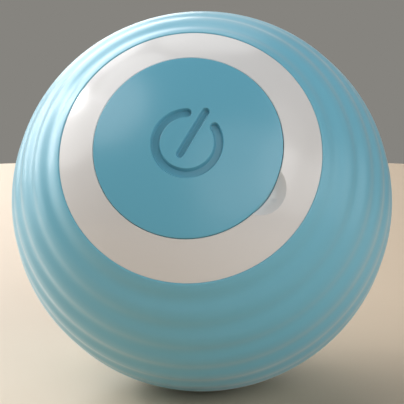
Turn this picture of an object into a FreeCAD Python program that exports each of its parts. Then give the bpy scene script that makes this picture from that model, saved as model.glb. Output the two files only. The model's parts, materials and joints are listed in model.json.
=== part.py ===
import FreeCAD, Part
import math
import os
import re
import Sketcher

# Self-rolling cat ball, in millimetres. The origin is the ball's centre and +Z is up.
# Every piece is drawn about the drive axis, which is the local Z axis and points out through
# the power cap, and is then turned so that the cap leans the way a ball at rest holds it.
# An angle is in degrees and has the word in its name. Places on the cap, the board and the
# frame are given about the drive axis, from the X axis.
SIZES = {
    # Whole ball: radius over the ribs, and how far the drive axis points above level
    "ball_radius": 21.5,
    "axis_lift_angle": 26.3,
    # Silicone jacket
    "jacket_wall": 1.45,
    "jacket_gap": 0.05,
    "opening_radius": 13.3,
    "opening_round": 0.15,
    "groove_count": 5,
    "groove_depth": 0.2,
    "groove_round": 3.5,
    # Shell halves, joined by a lap at the ball's equator
    "shell_wall": 1.5,
    "lap_depth": 1.6,
    "lap_wall": 0.7,
    "lap_gap": 0.05,
    "lap_end_gap": 0.2,
    # White ring, the well behind the power cap, and the channel that leads the lamps' light to the ring
    "ring_inset": 0.05,
    "ring_gap": 0.05,
    "ring_width": 3.83,
    "ring_edge": 0.18,
    "ring_chamfer": 0.07,
    "well_depth": 3.8,
    "floor_wall": 1.2,
    "channel_wall": 1.2,
    "channel_width": 1.3,
    "channel_roof": 0.85,
    # Thumb notch in the ring: a ball-shaped scoop
    "notch_angle": -30.5,
    "notch_inset": 0.97,
    "notch_round": 4.75,
    "notch_depth": 1.0,
    # Power cap
    "cap_gap": 0.05,
    "cap_dome": 39.85,
    "cap_edge_round": 0.1,
    "cap_plate": 0.75,
    "cap_skirt_wall": 1.2,
    "cap_skirt_depth": 2.3,
    "cap_boss_radius": 2.2,
    "cap_boss_length": 1.0,
    "symbol_radius": 3.12,
    "symbol_stroke": 0.85,
    "symbol_bar": 0.75,
    "symbol_bar_out": 4.05,
    "symbol_bar_in": 1.7,
    "symbol_gap_angle": 60.0,
    "symbol_angle": 62.2,
    "symbol_depth": 0.5,
    # Push switch
    "switch_side": 6.0,
    "switch_height": 3.4,
    "switch_round": 0.5,
    "switch_gap": 0.2,
    "stem_radius": 1.7,
    "stem_gap": 0.05,
    "stem_hole_gap": 0.3,
    "stem_foot": 0.6,
    "stem_travel": 0.3,
    "stem_over_travel": 0.05,
    # Circuit board
    "board_thickness": 1.0,
    "board_gap": 0.5,
    "board_screw_angle": 25.0,
    "board_screw_radius": 0.8,
    "board_screw_length": 3.6,
    "board_boss_radius": 1.6,
    "board_boss_gap": 0.2,
    "board_head_radius": 1.5,
    "board_head_height": 0.7,
    # Charging socket, upright in the well
    "socket_width": 8.94,
    "socket_depth": 3.26,
    "socket_wall": 0.3,
    "socket_round": 1.5,
    "socket_offset": 5.0,
    "socket_drop": 0.4,
    "socket_gap": 0.2,
    "socket_floor": 1.0,
    "tongue_width": 6.7,
    "tongue_thickness": 0.7,
    "tongue_inset": 0.6,
    # Lamps and chip on the board
    "lamp_inset": 1.9,
    "lamp_width": 1.6,
    "lamp_length": 2.0,
    "lamp_height": 0.8,
    "lamp_round": 0.2,
    "chip_width": 4.0,
    "chip_length": 5.0,
    "chip_height": 1.5,
    "chip_offset": 6.2,
    "chip_leg_pitch": 1.27,
    "chip_leg_width": 0.4,
    "chip_leg_reach": 0.7,
    "chip_leg_height": 0.25,
    # Battery in its tray, with a foam pad under the board
    "tray_wall": 1.0,
    "tray_height": 3.0,
    "tray_gap": 0.15,
    "tray_boss_gap": 1.05,
    "tray_post_gap": 2.35,
    "tray_edge_gap": 1.6,
    "battery_round": 1.0,
    "pad_thickness": 1.5,
    "pad_inset": 4.0,
    "pad_round": 0.4,
    "tab_inset": 1.7,
    "tab_width": 2.0,
    "tab_thickness": 0.3,
    "tab_proud": 0.3,
    # Motor in its saddle
    "saddle_wall": 1.0,
    "saddle_height": 4.0,
    "saddle_gap": 0.1,
    "saddle_post_gap": 1.2,
    "motor_boss_gap": 0.4,
    "motor_flat_drop": 1.0,
    "motor_room": 1.5,
    "motor_nose_radius": 1.5,
    "motor_nose_height": 0.7,
    "motor_cap_height": 1.0,
    "motor_cap_inset": 0.4,
    "terminal_width": 1.4,
    "terminal_thickness": 0.3,
    "solder_gap": 0.1,
    "motor_shaft_radius": 0.5,
    "motor_shaft_short": 1.0,
    "shaft_end_gap": 0.3,
    # Gear train
    "pinion_teeth": 10,
    "wheel_teeth": 40,
    "idler_pinion_teeth": 10,
    "output_teeth": 50,
    "gear_edge_gap": 2.15,
    "mesh_gap": 0.05,
    "wheel_thickness": 1.4,
    "wheel_gap": 0.7,
    "output_gap": 0.3,
    "output_thickness": 1.6,
    "face_overhang": 0.2,
    "idler_pin_radius": 0.5,
    "idler_pin_seat": 1.0,
    "idler_pin_gap": 0.04,
    "idler_hub_radius": 1.4,
    "hub_radius": 2.4,
    "hub_gap": 0.2,
    # Axle, bushes and washers
    "axle_radius": 1.0,
    "axle_gap": 0.04,
    "axle_front": 1.0,
    "axle_end_gap": 0.3,
    "bush_radius": 2.0,
    "bush_gap": 0.02,
    "front_bush_length": 3.2,
    "rear_bush_length": 3.0,
    "rear_end_wall": 2.4,
    "rear_boss_wall": 1.0,
    "boss_rib_drop": 1.0,
    "boss_rib_width": 1.0,
    "washer_radius": 1.9,
    "washer_thickness": 0.4,
    "washer_gap": 0.1,
    # Drive frame, screwed to the posts of the front shell
    "frame_gap": 1.0,
    "frame_top": 0.7,
    "frame_thickness": 1.5,
    "frame_boss_radius": 3.0,
    "frame_boss_height": 2.0,
    "frame_screw_count": 4,
    "frame_screw_inset": 1.9,
    "frame_screw_radius": 1.0,
    "frame_screw_length": 6.0,
    "frame_head_radius": 1.8,
    "frame_head_height": 1.2,
    "frame_post_radius": 1.9,
    "post_rib_rise": 3.1,
    "post_rib_width": 1.2,
    "rib_bite": 0.3,
    "screw_gap": 0.05,
    "screw_pass": 0.15,
    # Gear cover
    "cover_thickness": 1.2,
    "cover_gap": 0.4,
    "cover_edge": 0.1,
    "cover_post_radius": 1.6,
    "cover_post_gap": 1.1,
    "first_cover_angle": 20.0,
    "second_cover_angle": 105.0,
    "third_cover_angle": 210.0,
    "cover_window_radius": 2.0,
    "cover_window_inset": 4.3,
    "cover_screw_radius": 0.7,
    "cover_screw_length": 4.0,
    "cover_head_radius": 1.25,
    "cover_head_height": 0.7,
    "cover_axle_gap": 0.5,
    "cover_pin_seat": 0.8,
    # Pendulum
    "arm_gap": 0.3,
    "arm_thickness": 1.2,
    "arm_hub_radius": 3.0,
    "swing_gap": 0.9,
    "weight_thickness": 1.8,
    "weight_inset": 5.2,
    "weight_span_angle": 140.0,
    "rim_gap": 0.6,
    "rim_fit": 0.15,
    "weight_screw_angle": 40.0,
    "weight_screw_radius": 0.9,
    "weight_head_radius": 1.5,
    "weight_head_height": 0.9,
}

# Sizes that follow from those above
WORKED_OUT = {
    "jacket_inside": "ball_radius - jacket_wall",
    "shell_radius": "jacket_inside - jacket_gap",
    "shell_inside": "shell_radius - shell_wall",
    "lap_radius": "shell_inside + lap_wall",
    # Centre of the lip's round, and the angle at which that round meets the ball and the first rib
    "lip_middle": "opening_radius + opening_round",
    "lip_height": "sqrt((ball_radius - opening_round)^2 - lip_middle^2)",
    "lip_angle": "atan(lip_middle / lip_height) / 1 deg",
    "rib_angle": "(90 - lip_angle) / (groove_count + 0.5)",
    "half_rib": "rib_angle / 2",
    "groove_centre": "ball_radius - groove_depth + groove_round",
    "groove_level": "groove_centre * cos(half_rib)",
    "rib_round": "(groove_centre^2 + ball_radius^2 - 2 * groove_level * ball_radius - groove_round^2)"
                 " / (2 * (ball_radius - groove_level + groove_round))",
    "rib_centre": "ball_radius - rib_round",
    "ring_face": "ball_radius - ring_inset",
    "ring_radius": "opening_radius - ring_gap",
    "seat_radius": "ring_radius - ring_width",
    "cap_radius": "seat_radius - cap_gap",
    "cap_edge_height": "sqrt(ball_radius^2 - cap_radius^2)",
    "cap_top": "cap_edge_height + cap_dome - sqrt(cap_dome^2 - cap_radius^2)",
    "cap_under": "cap_edge_height - cap_plate",
    "skirt_end": "cap_edge_height - cap_skirt_depth",
    "skirt_inside": "cap_radius - cap_skirt_wall",
    "stem_top": "cap_under - cap_boss_length",
    "stem_hole": "stem_radius + stem_hole_gap",
    "well_floor": "cap_edge_height - well_depth",
    "floor_under": "well_floor - floor_wall",
    "channel_inner": "seat_radius + channel_wall",
    "channel_outer": "channel_inner + channel_width",
    "channel_top": "sqrt(ring_face^2 - channel_outer^2) - channel_roof",
    "notch_reach": "seat_radius - notch_inset",
    "notch_centre": "ring_face + notch_round - notch_depth",
    "switch_top": "floor_under - switch_gap",
    "stem_bottom": "switch_top - stem_foot",
    "board_top": "switch_top - switch_height",
    "board_under": "board_top - board_thickness",
    "socket_top": "skirt_end - socket_drop",
    "frame_radius": "shell_inside - frame_gap",
    "frame_under": "-(frame_top + frame_thickness)",
    "frame_screw_circle": "frame_radius - frame_screw_inset",
    "post_inner": "frame_screw_circle - frame_post_radius",
    "post_top": "sqrt((shell_inside + rib_bite / 2)^2 - post_inner^2)",
    "post_rib_under": "post_rib_rise - frame_top",
    "board_radius": "post_inner - board_gap",
    "board_screw_circle": "channel_inner - board_boss_gap - board_boss_radius",
    "lamp_circle": "board_radius - lamp_inset",
    "terminal_top": "board_top + tab_proud",
    # The battery fills the room from the bush's boss to the posts
    "battery_inner": "frame_boss_radius + tray_boss_gap + tray_wall + tray_gap",
    "battery_outer": "post_inner - tray_post_gap - tray_wall - tray_gap",
    "battery_thickness": "battery_outer - battery_inner",
    "battery_offset": "(battery_outer + battery_inner) / 2",
    "tray_corner": "battery_outer + tray_gap + tray_wall",
    "tray_reach": "sqrt((frame_radius - tray_edge_gap)^2 - tray_corner^2)",
    "battery_length": "2 * (tray_reach - tray_gap - tray_wall)",
    "battery_top": "board_under - pad_thickness",
    "pad_length": "battery_length - 2 * pad_inset",
    "tab_spread": "battery_length / 2 - tab_inset",
    # The motor fills the room on the other side
    "motor_inner": "frame_boss_radius + motor_boss_gap",
    "motor_outer": "post_inner - saddle_post_gap - saddle_wall - saddle_gap",
    "motor_flat": "(motor_outer - motor_inner) / 2",
    "motor_radius": "motor_flat + motor_flat_drop",
    "motor_offset": "(motor_outer + motor_inner) / 2",
    "motor_top": "board_under - motor_room",
    "motor_cap_under": "motor_top - motor_cap_height",
    "motor_shaft_top": "motor_cap_under - motor_shaft_short",
    "terminal_offset": "motor_offset + motor_flat / 2",
    "terminal_spread": "motor_radius - motor_cap_inset - terminal_width",
    # The gear train reaches as near the frame's edge as its gap lets it
    "tooth_module": "(frame_radius - gear_edge_gap - mesh_gap)"
                    " / ((idler_pinion_teeth + output_teeth + wheel_teeth) / 2 + 1)",
    "first_distance": "(pinion_teeth + wheel_teeth) * tooth_module / 2 + mesh_gap",
    "second_distance": "(idler_pinion_teeth + output_teeth) * tooth_module / 2 + mesh_gap",
    "idler_y": "-(second_distance^2 - first_distance^2 + motor_offset^2) / (2 * motor_offset)",
    "idler_x": "sqrt(second_distance^2 - idler_y^2)",
    "wheel_top": "frame_under - wheel_gap",
    "wheel_under": "wheel_top - wheel_thickness",
    "output_top": "wheel_under - output_gap",
    "output_under": "output_top - output_thickness",
    "output_tip": "(output_teeth / 2 + 1) * tooth_module",
    "front_washer_top": "frame_under - washer_gap",
    "front_washer_under": "front_washer_top - washer_thickness",
    "bush_seat": "bush_radius + bush_gap",
    "rear_pocket": "shell_radius - rear_end_wall",
    "rear_bush_top": "rear_pocket - rear_bush_length",
    "axle_back": "rear_pocket - axle_end_gap",
    "hub_end": "-(rear_bush_top - washer_gap - washer_thickness)",
    "cover_post_circle": "output_tip + cover_post_gap + cover_post_radius",
    "cover_radius": "cover_post_circle + cover_post_radius + cover_edge",
    "cover_window_circle": "cover_post_circle - cover_window_inset",
    "cover_top": "output_under - cover_gap - face_overhang",
    "cover_under": "cover_top - cover_thickness",
    "arm_top": "cover_under - arm_gap",
    "arm_under": "arm_top - arm_thickness",
    "weight_under": "arm_under - weight_thickness",
    "swing_radius": "shell_inside - swing_gap",
    "weight_inner": "cover_radius - weight_inset",
    "weight_outer": "sqrt(swing_radius^2 - weight_under^2)",
    "weight_screw_circle": "(weight_inner + weight_outer) / 2",
    "rim_radius": "cover_radius + rim_gap",
    "rim_top": "wheel_under - rim_gap",
}

SIDEWAYS = FreeCAD.Vector(1, 0, 0)
PRESSURE_ANGLE = math.radians(20)
COVER_ANGLES = ("first_cover_angle", "second_cover_angle", "third_cover_angle")

doc = FreeCAD.newDocument("CatBall")


def spelled(text, derived="Derived."):
    """The expression with each size's name leading to its cell."""

    def cell(match):
        word = match.group(0)
        if word in WORKED_OUT:
            return derived + word
        return "Sizes." + word if word in SIZES else word

    return re.sub(r"[a-z][a-z_0-9]*", cell, str(text))


def fill_sheet(name, cells):
    sheet = doc.addObject("Spreadsheet::Sheet", name)
    for row, (alias, content) in enumerate(cells.items(), start=1):
        sheet.set(f"A{row}", alias)
        sheet.set(f"B{row}", content)
        sheet.setAlias(f"B{row}", alias)
    doc.recompute()
    return sheet


fill_sheet("Sizes", {alias: str(amount) for alias, amount in SIZES.items()})
formulas = {alias: "=" + spelled(text, "") for alias, text in WORKED_OUT.items()}
derived_sheet = fill_sheet("Derived", formulas)


def number(text):
    """What an expression comes to, as a plain number."""
    return float(derived_sheet.evalExpression(spelled(text)))


def bind(thing, **expressions):
    """Tie properties of an object to the sheet."""
    for name, text in expressions.items():
        thing.setExpression(name, spelled(text))
    return thing


def place(thing, x="0", y="0", z="0"):
    """Tie where a primitive stands to the sheet."""
    for direction, text in zip("xyz", (x, y, z)):
        if text != "0":
            thing.setExpression("Placement.Base." + direction, spelled(text))
    return thing


def cylinder(name, radius, bottom, top, x="0", y="0"):
    rod = doc.addObject("Part::Cylinder", name)
    bind(rod, Radius=radius, Height=f"({top}) - ({bottom})")
    return place(rod, x, y, bottom)


def block(name, width, depth, bottom, top, x="0", y="0"):
    """An upright block centred on x and y."""
    brick = doc.addObject("Part::Box", name)
    bind(brick, Length=width, Width=depth, Height=f"({top}) - ({bottom})")
    return place(brick, f"({x}) - ({width}) / 2", f"({y}) - ({depth}) / 2", bottom)


def cut(name, base, tool):
    result = doc.addObject("Part::Cut", name)
    result.Base = base
    result.Tool = tool
    return result


def fuse(name, *shapes):
    result = doc.addObject("Part::MultiFuse", name)
    result.Shapes = list(shapes)
    return result


def common(name, *shapes):
    result = doc.addObject("Part::MultiCommon", name)
    result.Shapes = list(shapes)
    return result


def new_body(name):
    body = doc.addObject("PartDesign::Body", name)
    body.Label = name
    return body


def new_sketch(body, name, plane, height="0"):
    sketch = body.newObject("Sketcher::SketchObject", name)
    origin = next(item for item in body.Origin.OriginFeatures if item.Role == plane)
    sketch.AttachmentSupport = [(origin, "")]
    sketch.MapMode = "FlatFace"
    if height != "0":
        sketch.setExpression("AttachmentOffset.Base.z", spelled(height))
    return sketch


def hold(sketch, geometry, point, x, y):
    """Tie one point of a sketch to the sheet."""
    for kind, axis, text in (("DistanceX", -2, x), ("DistanceY", -1, y)):
        if text == "0":
            sketch.addConstraint(Sketcher.Constraint("PointOnObject", geometry, point, axis))
        else:
            index = sketch.addConstraint(Sketcher.Constraint(kind, geometry, point, number(text)))
            sketch.setExpression(f"Constraints[{index}]", spelled(text))


def draw_outline(sketch, corners, arcs=None):
    """A closed outline. arcs maps a side's number to its radius and the side its centre is on."""
    arcs = arcs or {}
    points = [FreeCAD.Vector(number(x), number(y), 0) for x, y in corners]
    ends = []
    for side, start in enumerate(points):
        finish = points[(side + 1) % len(points)]
        if side not in arcs:
            ends.append((sketch.addGeometry(Part.LineSegment(start, finish)), 1, 2))
            continue
        radius, centre_side = number(arcs[side][0]), arcs[side][1]
        along = finish - start
        left = FreeCAD.Vector(-along.y, along.x, 0).normalize()
        rise = math.sqrt(radius**2 - (along.Length / 2) ** 2)
        centre = (start + finish) / 2 + left * (rise if centre_side == "left" else -rise)
        first, last = (start, finish) if centre_side == "left" else (finish, start)
        angles = [math.atan2(point.y - centre.y, point.x - centre.x) for point in (first, last)]
        circle = Part.Circle(centre, FreeCAD.Vector(0, 0, 1), radius)
        geometry = sketch.addGeometry(Part.ArcOfCircle(circle, *angles))
        ends.append((geometry, 1, 2) if centre_side == "left" else (geometry, 2, 1))
    for side, (geometry, first, last) in enumerate(ends):
        beyond, beyond_first, _ = ends[(side + 1) % len(ends)]
        sketch.addConstraint(Sketcher.Constraint("Coincident", geometry, last, beyond, beyond_first))
        hold(sketch, geometry, first, *corners[side])
        if side in arcs:
            radius = arcs[side][0]
            index = sketch.addConstraint(Sketcher.Constraint("Radius", geometry, number(radius)))
            sketch.setExpression(f"Constraints[{index}]", spelled(radius))


def draw_rounded_box(sketch, width, depth, corner, x="0", y="0"):
    """A box outline with round corners, centred on x and y."""
    right, top = f"({width}) / 2", f"({depth}) / 2"
    corners = []
    for across, up in ((1, 1), (-1, 1), (-1, -1), (1, -1)):
        near_side = (f"({x}) + {across} * ({right})", f"({y}) + {up} * ({top} - ({corner}))")
        near_end = (f"({x}) + {across} * ({right} - ({corner}))", f"({y}) + {up} * ({top})")
        corners += [near_side, near_end] if across == up else [near_end, near_side]
    draw_outline(sketch, corners, {side: (corner, "left") for side in (0, 2, 4, 6)})


def revolve(body, sketch, angle="360", midplane=False):
    turned = body.newObject("PartDesign::Revolution", "Turned" + body.Name)
    turned.Profile = sketch
    turned.ReferenceAxis = (sketch, ["V_Axis"])
    turned.Midplane = midplane
    turned.setExpression("Angle", spelled(angle))
    body.Tip = turned
    return turned


def pad(body, sketch, length):
    grown = body.newObject("PartDesign::Pad", "Grown" + body.Name)
    grown.Profile = sketch
    bind(grown, Length=length)
    body.Tip = grown
    return grown


def prism(name, width, depth, corner, bottom, top, x="0", y="0"):
    """An upright block with round upright edges, centred on x and y."""
    body = new_body(name)
    sketch = new_sketch(body, name + "Outline", "XY_Plane", bottom)
    draw_rounded_box(sketch, width, depth, corner, x, y)
    pad(body, sketch, f"({top}) - ({bottom})")
    return body


def turned_body(name, corners, arcs=None):
    """A body turned about the drive axis from an outline of (distance from the axis, height)."""
    body = new_body(name)
    sketch = new_sketch(body, name + "Section", "XZ_Plane")
    draw_outline(sketch, corners, arcs)
    revolve(body, sketch)
    return body


def round_edges(body, name, size, kind, rings):
    """Fillet or chamfer the circular edges that have a given radius and height."""
    doc.recompute()
    base = body.Tip
    edges = []
    for index, edge in enumerate(base.Shape.Edges, start=1):
        if edge.Degenerated or not isinstance(edge.Curve, Part.Circle):
            continue
        for radius, height in rings:
            at_radius = abs(edge.Curve.Radius - number(radius)) < 1e-4
            if at_radius and abs(edge.Curve.Center.z - number(height)) < 1e-4:
                edges.append(f"Edge{index}")
    dressed = body.newObject("PartDesign::" + kind, name)
    dressed.Base = (base, edges)
    bind(dressed, **{"Radius" if kind == "Fillet" else "Size": size})
    body.Tip = dressed
    return dressed


def on_sphere(radius, across):
    """Height at which a ball's surface is a given distance from the axis."""
    return f"sqrt(({radius})^2 - ({across})^2)"


def polar(radius, angle):
    """Expressions for a point at an angle, in degrees, on a circle."""
    return f"({radius}) * cos({angle})", f"({radius}) * sin({angle})"


def ribbed_outline():
    """Outer line of the jacket from its first rib to its last: ribs and grooves as tangent arcs."""
    corners, arcs = [], {}

    def add(radius, angle):
        corners.append((f"({radius}) * sin({angle})", f"({radius}) * cos({angle})"))

    side = int(number("groove_count"))
    # The point where a rib's arc meets a groove's, on the line between their centres
    share = "rib_round / (rib_round + groove_round)"
    joint_x = f"rib_centre + (groove_centre * cos(half_rib) - rib_centre) * {share}"
    joint_y = f"groove_centre * sin(half_rib) * {share}"
    joint_radius = f"sqrt(({joint_x})^2 + ({joint_y})^2)"
    joint_angle = f"atan(({joint_y}) / ({joint_x})) / 1 deg"
    add("ball_radius", f"90 - {side} * rib_angle - half_rib")
    for groove in range(-side, side + 1):
        groove_angle = f"90 + {groove} * rib_angle"
        arcs[len(corners) - 1] = ("rib_round", "right")
        add(joint_radius, f"{groove_angle} - half_rib + {joint_angle}")
        arcs[len(corners) - 1] = ("groove_round", "left")
        add(joint_radius, f"{groove_angle} + half_rib - {joint_angle}")
    arcs[len(corners) - 1] = ("rib_round", "right")
    add("ball_radius", f"90 + {side} * rib_angle + half_rib")
    return corners, arcs


def make_grip_jacket():
    """Silicone jacket: open at the front, ribbed round the drive axis, closed at the back."""
    ribs, rib_arcs = ribbed_outline()
    corners = [("opening_radius", on_sphere("jacket_inside", "opening_radius")),
               ("opening_radius", "lip_height")]
    arcs = {side + len(corners): arc for side, arc in rib_arcs.items()}
    arcs[1] = ("opening_round", "right")
    corners += ribs
    arcs[len(corners) - 1] = ("ball_radius", "right")
    corners += [("0", "-ball_radius"), ("0", "-jacket_inside"), ("jacket_inside", "0")]
    arcs[len(corners) - 2] = ("jacket_inside", "left")
    arcs[len(corners) - 1] = ("jacket_inside", "left")
    return turned_body("grip_jacket", corners, arcs)


def board_screw_places():
    """The board's screws stand in two pairs, left and right of the switch."""
    return [polar("board_screw_circle", f"{side} + {turn} * board_screw_angle")
            for side in (0, 180) for turn in (-1, 1)]


def make_front_shell():
    """Front half shell: lap joint, raised white ring, well floor, light channel, bosses and posts."""
    lap_end = "lap_depth + lap_end_gap"
    corners = [
        ("shell_radius", "0"),
        ("ring_radius", on_sphere("shell_radius", "ring_radius")),
        ("ring_radius", on_sphere("ring_face", "ring_radius")),
        ("seat_radius", on_sphere("ring_face", "seat_radius")),
        ("seat_radius", "well_floor"),
        ("stem_hole", "well_floor"),
        ("stem_hole", "floor_under"),
        ("channel_inner", "floor_under"),
        ("channel_inner", "channel_top"),
        ("channel_outer", "channel_top"),
        ("channel_outer", on_sphere("shell_inside", "channel_outer")),
        (on_sphere("shell_inside", lap_end), lap_end),
        ("lap_radius + lap_gap", lap_end),
        ("lap_radius + lap_gap", "0"),
    ]
    arcs = {0: ("shell_radius", "left"), 2: ("ring_face", "left"), 10: ("shell_inside", "right")}
    shell = turned_body("ShellTurned", corners, arcs)
    round_edges(shell, "RingEdge", "ring_edge", "Fillet",
                [("ring_radius", on_sphere("ring_face", "ring_radius"))])
    round_edges(shell, "SeatEdge", "ring_chamfer", "Chamfer",
                [("seat_radius", on_sphere("ring_face", "seat_radius"))])

    # Bosses for the circuit board, and posts with ribs for the drive frame
    added, holes = [shell], []
    inside = place(bind(doc.addObject("Part::Sphere", "InsideBall"), Radius="shell_inside + rib_bite"))
    for spot, (x, y) in enumerate(board_screw_places()):
        boss = cylinder(f"BoardBossRod{spot}", "board_boss_radius", "board_top",
                        "floor_under + floor_wall / 2", x, y)
        added.append(common(f"BoardBoss{spot}", boss, inside))
        holes.append(cylinder(f"BoardPilot{spot}", "board_screw_radius + screw_gap", "board_top - 0.5",
                              "board_under + board_screw_length + screw_gap", x, y))
    for spot in range(int(number("frame_screw_count"))):
        turn = f"360 * {spot} / frame_screw_count"
        x, y = polar("frame_screw_circle", turn)
        post = cylinder(f"PostRod{spot}", "frame_post_radius", "-frame_top", "post_top", x, y)
        rib = doc.addObject("Part::Box", f"PostRib{spot}")
        bind(rib, Length="shell_radius - frame_screw_circle", Width="post_rib_width",
             Height="post_top - post_rib_under")
        rib.setExpression("Placement.Rotation.Angle", spelled(turn))
        place(rib, f"{x} + post_rib_width / 2 * sin({turn})", f"{y} - post_rib_width / 2 * cos({turn})",
              "post_rib_under")
        added.append(common(f"Post{spot}", fuse(f"PostWhole{spot}", post, rib), inside))
        holes.append(cylinder(f"PostPilot{spot}", "frame_screw_radius + screw_gap", "-frame_top - 0.5",
                              "frame_under + frame_screw_length + screw_gap", x, y))

    # Slot for the charging socket, and the thumb notch
    holes.append(prism("SocketSlot", "socket_width + 2 * socket_gap",
                       "socket_depth + 2 * socket_gap", "socket_round + socket_gap",
                       "floor_under - 1", "well_floor + 1", "0", "-socket_offset"))
    scoop = bind(doc.addObject("Part::Sphere", "NotchBall"), Radius="notch_round")
    x, y = polar("notch_centre * notch_reach / ring_face", "notch_angle")
    place(scoop, x, y, f"notch_centre * {on_sphere('ring_face', 'notch_reach')} / ring_face")
    holes.append(scoop)
    return cut("front_shell", fuse("ShellWithBosses", *added), fuse("ShellHoles", *holes))


def make_rear_shell():
    """Rear half shell with the lap joint's tongue and the ribbed boss that holds the rear bush."""
    boss = "bush_seat + rear_boss_wall"
    corners = [
        ("lap_radius", "lap_depth"),
        ("lap_radius", "0"),
        ("shell_radius", "0"),
        ("0", "-shell_radius"),
        ("0", "-rear_bush_top"),
        (boss, "-rear_bush_top"),
        (boss, "-" + on_sphere("shell_inside", boss)),
        ("shell_inside", "0"),
        ("shell_inside", "lap_depth"),
    ]
    arcs = {2: ("shell_radius", "right"), 6: ("shell_inside", "left")}
    shell = turned_body("RearTurned", corners, arcs)
    rib_top = "-(rear_bush_top + boss_rib_drop)"
    ribs = [block("BossRibX", "2 * shell_inside", "boss_rib_width", "-shell_inside", rib_top),
            block("BossRibY", "boss_rib_width", "2 * shell_inside", "-shell_inside", rib_top)]
    inside = place(bind(doc.addObject("Part::Sphere", "InsideRear"), Radius="shell_inside + rib_bite"))
    cross = common("BossRibs", fuse("BossRibCross", *ribs), inside)
    pocket = cylinder("RearPocket", "bush_seat", "-rear_pocket", "0")
    return cut("rear_shell", fuse("RearWithRibs", shell, cross), pocket)


def make_power_cap():
    """Blue cap: shallow dome, skirt that fills the seat, boss over the switch, sunk power symbol."""
    corners = [
        ("0", "cap_top"),
        ("cap_radius", "cap_edge_height"),
        ("cap_radius", "skirt_end"),
        ("skirt_inside", "skirt_end"),
        ("skirt_inside", "cap_under"),
        ("cap_boss_radius", "cap_under"),
        ("cap_boss_radius", "stem_top"),
        ("0", "stem_top"),
    ]
    body = turned_body("power_cap", corners, {0: ("cap_dome", "right")})
    round_edges(body, "CapEdge", "cap_edge_round", "Fillet", [("cap_radius", "cap_edge_height")])
    doc.recompute()
    before = body.Shape.Volume

    sketch = new_sketch(body, "PowerSymbol", "XY_Plane", "cap_top - symbol_depth")
    half = "symbol_stroke / 2"
    first, last = "symbol_angle + symbol_gap_angle / 2", "symbol_angle + 360 - symbol_gap_angle / 2"
    third = "(360 - symbol_gap_angle) / 3"
    corners, arcs = [], {}
    for step in range(4):
        corners.append(polar(f"symbol_radius + {half}", f"{first} + {step} * {third}"))
    corners.append(ahead_of(last, half))
    for step in range(4):
        corners.append(polar(f"symbol_radius - {half}", f"{last} - {step} * {third}"))
    corners.append(ahead_of(first, "-" + half))
    for side in range(3):
        arcs[side] = (f"symbol_radius + {half}", "left")
        arcs[side + 5] = (f"symbol_radius - {half}", "right")
    for side in (3, 4, 8, 9):
        arcs[side] = (half, "left")
    draw_outline(sketch, corners, arcs)
    draw_bar(sketch)
    sunk = body.newObject("PartDesign::Pocket", "SunkSymbol")
    sunk.Profile = sketch
    bind(sunk, Length="2 * symbol_depth")
    sunk.Reversed = True
    body.Tip = sunk
    doc.recompute()
    if body.Shape.Volume > before - 1:
        raise RuntimeError("The power symbol was not cut")
    return body


def ahead_of(angle, step):
    """The tip of the symbol's round end: a step along the circle's tangent."""
    x, y = polar("symbol_radius", angle)
    return f"{x} - ({step}) * sin({angle})", f"{y} + ({step}) * cos({angle})"


def draw_bar(sketch):
    """The symbol's straight bar, with round ends, along the direction of its gap."""
    half = "symbol_bar / 2"
    far, near = f"symbol_bar_out - {half}", f"{half} - symbol_bar_in"
    corners = []
    for along, aside in ((far, "-" + half), ("symbol_bar_out", "0"), (far, half),
                         (near, half), ("-symbol_bar_in", "0"), (near, "-" + half)):
        corners.append((f"({along}) * cos(symbol_angle) - ({aside}) * sin(symbol_angle)",
                        f"({along}) * sin(symbol_angle) + ({aside}) * cos(symbol_angle)"))
    draw_outline(sketch, corners, {side: (half, "left") for side in (0, 1, 3, 4)})


def make_switch_base():
    box = prism("SwitchBlock", "switch_side", "switch_side", "switch_round", "board_top", "switch_top")
    bore = cylinder("SwitchBore", "stem_radius + stem_gap",
                    "stem_bottom - stem_travel - stem_over_travel", "switch_top + 1")
    return cut("switch_base", box, bore)


def make_switch_stem():
    return group("switch_stem", [cylinder("StemRod", "stem_radius", "stem_bottom", "stem_top")])


def make_circuit_board():
    disc = cylinder("BoardDisc", "board_radius", "board_under", "board_top")
    holes = []
    for spot, (x, y) in enumerate(board_screw_places()):
        holes.append(cylinder(f"BoardHole{spot}", "board_screw_radius + screw_pass",
                              "board_under - 1", "board_top + 1", x, y))
    for side in (-1, 1):
        holes.append(block(f"TerminalSlot{side + 1}", "terminal_width + 2 * solder_gap",
                           "terminal_thickness + 2 * solder_gap", "board_under - 1",
                           "board_top + 1", f"{side} * terminal_spread", "-terminal_offset"))
        holes.append(block(f"TabSlot{side + 1}", "tab_width + 2 * solder_gap",
                           "tab_thickness + 2 * solder_gap", "board_under - 1",
                           "board_top + 1", f"{side} * tab_spread", "battery_offset"))
    return cut("circuit_board", disc, fuse("BoardHoles", *holes))


def screw(name, shank, length, head, head_height, bottom, x, y):
    """A pan-head screw that points up from its head's lower face."""
    rod = cylinder(name + "Rod", shank, bottom, f"({bottom}) + ({head_height}) + ({length})", x, y)
    top = cylinder(name + "Head", head, bottom, f"({bottom}) + ({head_height})", x, y)
    return fuse(name, rod, top)


def group(name, shapes):
    """Separate solids that share one node."""
    joined = doc.addObject("Part::Compound", name)
    joined.Links = shapes
    return joined


def make_board_screws():
    screws = []
    for spot, (x, y) in enumerate(board_screw_places()):
        screws.append(screw(f"BoardScrew{spot}", "board_screw_radius", "board_screw_length",
                            "board_head_radius", "board_head_height",
                            "board_under - board_head_height", x, y))
    return group("board_screws", screws)


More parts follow.
